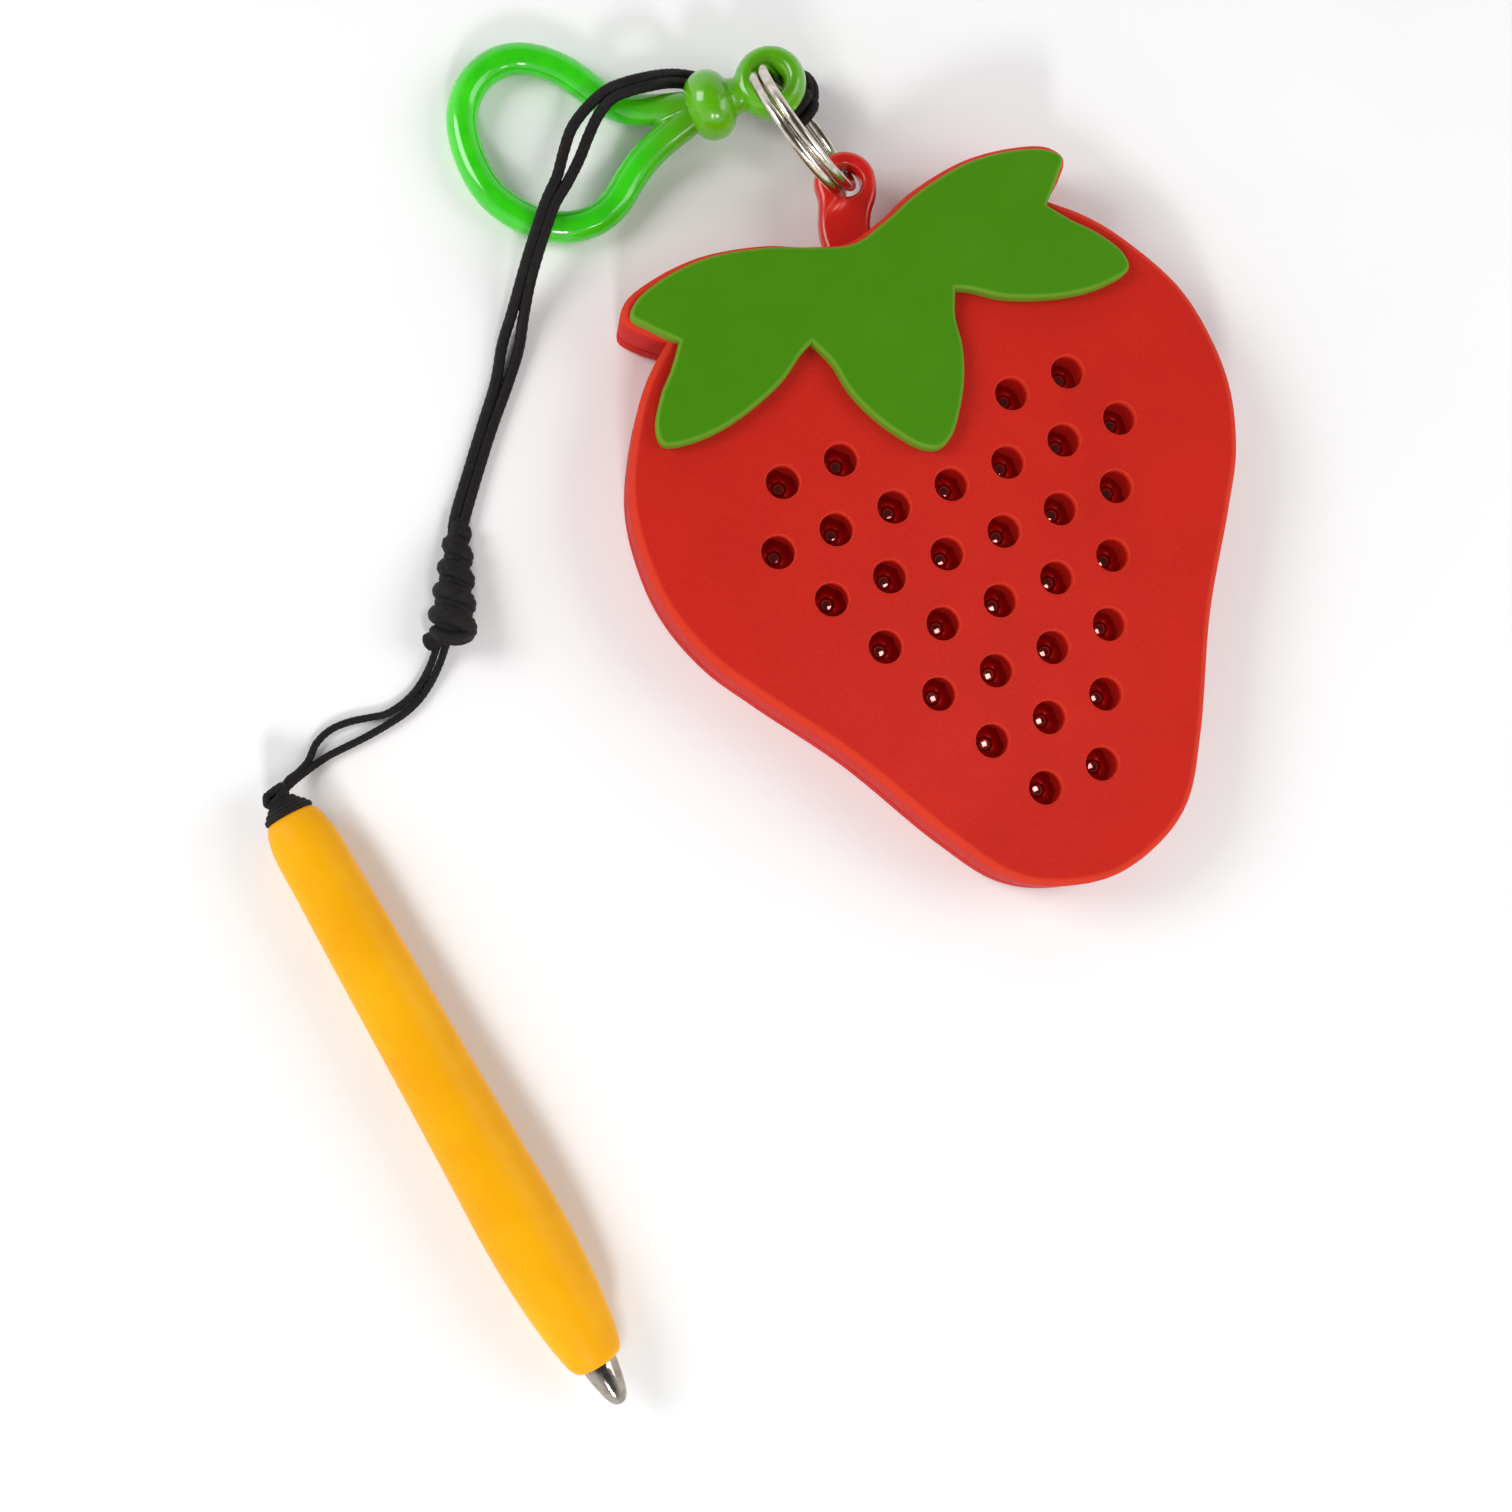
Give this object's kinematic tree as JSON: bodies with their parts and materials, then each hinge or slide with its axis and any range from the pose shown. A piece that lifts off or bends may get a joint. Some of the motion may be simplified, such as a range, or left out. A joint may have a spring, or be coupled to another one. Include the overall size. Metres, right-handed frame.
{
  "type": "magnetic ball drawing board key ring",
  "caption": "Strawberry-shaped magnetic drawing board key ring: steel balls in windows of a flat shell, a split ring with a soft clip loop, and a corded magnet stylus.",
  "frame": {"origin": "on the flat back face, on the berry's mid-line under the middle row of balls", "axes": "+X to the right seen from the front, +Y towards the stem, +Z out of the face; the object lies on its back on Z = 0"},
  "size_m": [0.1078, 0.1295, 0.0148],
  "materials": {
    "red_shell": "fine matte moulded ABS, a little glossier on the rounded edges",
    "inner_plate": "dark red moulded plastic, seen only through the windows",
    "leaf_green": "satin moulded plastic with a polished rounded edge",
    "ball_steel": "polished bearing balls",
    "ring_steel": "nickel-plated spring wire",
    "lime_plastic": "glossy lime moulding",
    "green_vinyl": "glossy soft translucent vinyl",
    "black_cord": "fine braided polyester cord",
    "yellow_plastic": "satin moulded plastic",
    "tip_steel": "polished turned steel",
    "magnet": "sintered magnet, hidden in the stylus"
  },
  "bodies": {
    "strawberry": {"front_shell": "red_shell", "back_cover": "red_shell", "cell_plate": "inner_plate", "leaf_cap": "leaf_green", "hanging_stem": "red_shell"},
    "ring": {"split_ring": "ring_steel", "strap_hitch": "black_cord"},
    "clip": {"clip_connector": "lime_plastic", "clip_loop": "green_vinyl", "strap_strand_left": "black_cord", "strap_strand_right": "black_cord", "strap_knot": "black_cord", "string_strand_left": "black_cord", "string_strand_right": "black_cord"},
    "tether": {"stylus_hitch": "black_cord"},
    "stylus": {"stylus_barrel": "yellow_plastic", "stylus_tip": "tip_steel", "stylus_magnet": "magnet"},
    "ball_r1_c1": {"ball_r1_c1": "ball_steel"},
    "ball_r1_c2": {"ball_r1_c2": "ball_steel"},
    "ball_r1_c3": {"ball_r1_c3": "ball_steel"},
    "ball_r1_c4": {"ball_r1_c4": "ball_steel"},
    "ball_r2_c1": {"ball_r2_c1": "ball_steel"},
    "ball_r2_c2": {"ball_r2_c2": "ball_steel"},
    "ball_r2_c3": {"ball_r2_c3": "ball_steel"},
    "ball_r2_c4": {"ball_r2_c4": "ball_steel"},
    "ball_r2_c5": {"ball_r2_c5": "ball_steel"},
    "ball_r2_c6": {"ball_r2_c6": "ball_steel"},
    "ball_r2_c7": {"ball_r2_c7": "ball_steel"},
    "ball_r3_c1": {"ball_r3_c1": "ball_steel"},
    "ball_r3_c2": {"ball_r3_c2": "ball_steel"},
    "ball_r3_c3": {"ball_r3_c3": "ball_steel"},
    "ball_r3_c4": {"ball_r3_c4": "ball_steel"},
    "ball_r3_c5": {"ball_r3_c5": "ball_steel"},
    "ball_r3_c6": {"ball_r3_c6": "ball_steel"},
    "ball_r4_c1": {"ball_r4_c1": "ball_steel"},
    "ball_r4_c2": {"ball_r4_c2": "ball_steel"},
    "ball_r4_c3": {"ball_r4_c3": "ball_steel"},
    "ball_r4_c4": {"ball_r4_c4": "ball_steel"},
    "ball_r4_c5": {"ball_r4_c5": "ball_steel"},
    "ball_r5_c1": {"ball_r5_c1": "ball_steel"},
    "ball_r5_c2": {"ball_r5_c2": "ball_steel"},
    "ball_r5_c3": {"ball_r5_c3": "ball_steel"},
    "ball_r5_c4": {"ball_r5_c4": "ball_steel"},
    "ball_r6_c1": {"ball_r6_c1": "ball_steel"},
    "ball_r6_c2": {"ball_r6_c2": "ball_steel"},
    "ball_r6_c3": {"ball_r6_c3": "ball_steel"},
    "ball_r7_c1": {"ball_r7_c1": "ball_steel"},
    "ball_r7_c2": {"ball_r7_c2": "ball_steel"}
  },
  "joints": [
    {"name": "ring_swing", "type": "hinge", "parent": "strawberry", "child": "ring", "pos_m": [0.00285, 0.04565, 0.005], "axis": [0, 0, 1], "range_deg": [-35, 10]},
    {"name": "clip_swing", "type": "hinge", "parent": "ring", "child": "clip", "pos_m": [-0.0005, 0.0578, 0.0056], "axis": [0, 0, 1], "range_deg": [-30, 8]},
    {"name": "stylus_swing", "type": "hinge", "parent": "clip", "child": "tether", "pos_m": [-0.073, 0.009, 0.0026], "axis": [0, 0, 1], "range_deg": [-30, 30]},
    {"name": "stylus_lift", "type": "hinge", "parent": "tether", "child": "stylus", "pos_m": [-0.07207, 0.00492, 0.00334], "axis": [-0.9919, -0.1271, 0], "range_deg": [0, 60]},
    {"name": "lift_r1_c1", "type": "slide", "parent": "strawberry", "child": "ball_r1_c1", "axis": [0, 0, 1], "range_m": [0, 0.0025]},
    {"name": "lift_r1_c2", "type": "slide", "parent": "strawberry", "child": "ball_r1_c2", "axis": [0, 0, 1], "range_m": [0, 0.0025]},
    {"name": "lift_r1_c3", "type": "slide", "parent": "strawberry", "child": "ball_r1_c3", "axis": [0, 0, 1], "range_m": [0, 0.0025]},
    {"name": "lift_r1_c4", "type": "slide", "parent": "strawberry", "child": "ball_r1_c4", "axis": [0, 0, 1], "range_m": [0, 0.0025]},
    {"name": "lift_r2_c1", "type": "slide", "parent": "strawberry", "child": "ball_r2_c1", "axis": [0, 0, 1], "range_m": [0, 0.0025]},
    {"name": "lift_r2_c2", "type": "slide", "parent": "strawberry", "child": "ball_r2_c2", "axis": [0, 0, 1], "range_m": [0, 0.0025]},
    {"name": "lift_r2_c3", "type": "slide", "parent": "strawberry", "child": "ball_r2_c3", "axis": [0, 0, 1], "range_m": [0, 0.0025]},
    {"name": "lift_r2_c4", "type": "slide", "parent": "strawberry", "child": "ball_r2_c4", "axis": [0, 0, 1], "range_m": [0, 0.0025]},
    {"name": "lift_r2_c5", "type": "slide", "parent": "strawberry", "child": "ball_r2_c5", "axis": [0, 0, 1], "range_m": [0, 0.0025]},
    {"name": "lift_r2_c6", "type": "slide", "parent": "strawberry", "child": "ball_r2_c6", "axis": [0, 0, 1], "range_m": [0, 0.0025]},
    {"name": "lift_r2_c7", "type": "slide", "parent": "strawberry", "child": "ball_r2_c7", "axis": [0, 0, 1], "range_m": [0, 0.0025]},
    {"name": "lift_r3_c1", "type": "slide", "parent": "strawberry", "child": "ball_r3_c1", "axis": [0, 0, 1], "range_m": [0, 0.0025]},
    {"name": "lift_r3_c2", "type": "slide", "parent": "strawberry", "child": "ball_r3_c2", "axis": [0, 0, 1], "range_m": [0, 0.0025]},
    {"name": "lift_r3_c3", "type": "slide", "parent": "strawberry", "child": "ball_r3_c3", "axis": [0, 0, 1], "range_m": [0, 0.0025]},
    {"name": "lift_r3_c4", "type": "slide", "parent": "strawberry", "child": "ball_r3_c4", "axis": [0, 0, 1], "range_m": [0, 0.0025]},
    {"name": "lift_r3_c5", "type": "slide", "parent": "strawberry", "child": "ball_r3_c5", "axis": [0, 0, 1], "range_m": [0, 0.0025]},
    {"name": "lift_r3_c6", "type": "slide", "parent": "strawberry", "child": "ball_r3_c6", "axis": [0, 0, 1], "range_m": [0, 0.0025]},
    {"name": "lift_r4_c1", "type": "slide", "parent": "strawberry", "child": "ball_r4_c1", "axis": [0, 0, 1], "range_m": [0, 0.0025]},
    {"name": "lift_r4_c2", "type": "slide", "parent": "strawberry", "child": "ball_r4_c2", "axis": [0, 0, 1], "range_m": [0, 0.0025]},
    {"name": "lift_r4_c3", "type": "slide", "parent": "strawberry", "child": "ball_r4_c3", "axis": [0, 0, 1], "range_m": [0, 0.0025]},
    {"name": "lift_r4_c4", "type": "slide", "parent": "strawberry", "child": "ball_r4_c4", "axis": [0, 0, 1], "range_m": [0, 0.0025]},
    {"name": "lift_r4_c5", "type": "slide", "parent": "strawberry", "child": "ball_r4_c5", "axis": [0, 0, 1], "range_m": [0, 0.0025]},
    {"name": "lift_r5_c1", "type": "slide", "parent": "strawberry", "child": "ball_r5_c1", "axis": [0, 0, 1], "range_m": [0, 0.0025]},
    {"name": "lift_r5_c2", "type": "slide", "parent": "strawberry", "child": "ball_r5_c2", "axis": [0, 0, 1], "range_m": [0, 0.0025]},
    {"name": "lift_r5_c3", "type": "slide", "parent": "strawberry", "child": "ball_r5_c3", "axis": [0, 0, 1], "range_m": [0, 0.0025]},
    {"name": "lift_r5_c4", "type": "slide", "parent": "strawberry", "child": "ball_r5_c4", "axis": [0, 0, 1], "range_m": [0, 0.0025]},
    {"name": "lift_r6_c1", "type": "slide", "parent": "strawberry", "child": "ball_r6_c1", "axis": [0, 0, 1], "range_m": [0, 0.0025]},
    {"name": "lift_r6_c2", "type": "slide", "parent": "strawberry", "child": "ball_r6_c2", "axis": [0, 0, 1], "range_m": [0, 0.0025]},
    {"name": "lift_r6_c3", "type": "slide", "parent": "strawberry", "child": "ball_r6_c3", "axis": [0, 0, 1], "range_m": [0, 0.0025]},
    {"name": "lift_r7_c1", "type": "slide", "parent": "strawberry", "child": "ball_r7_c1", "axis": [0, 0, 1], "range_m": [0, 0.0025]},
    {"name": "lift_r7_c2", "type": "slide", "parent": "strawberry", "child": "ball_r7_c2", "axis": [0, 0, 1], "range_m": [0, 0.0025]}
  ]
}
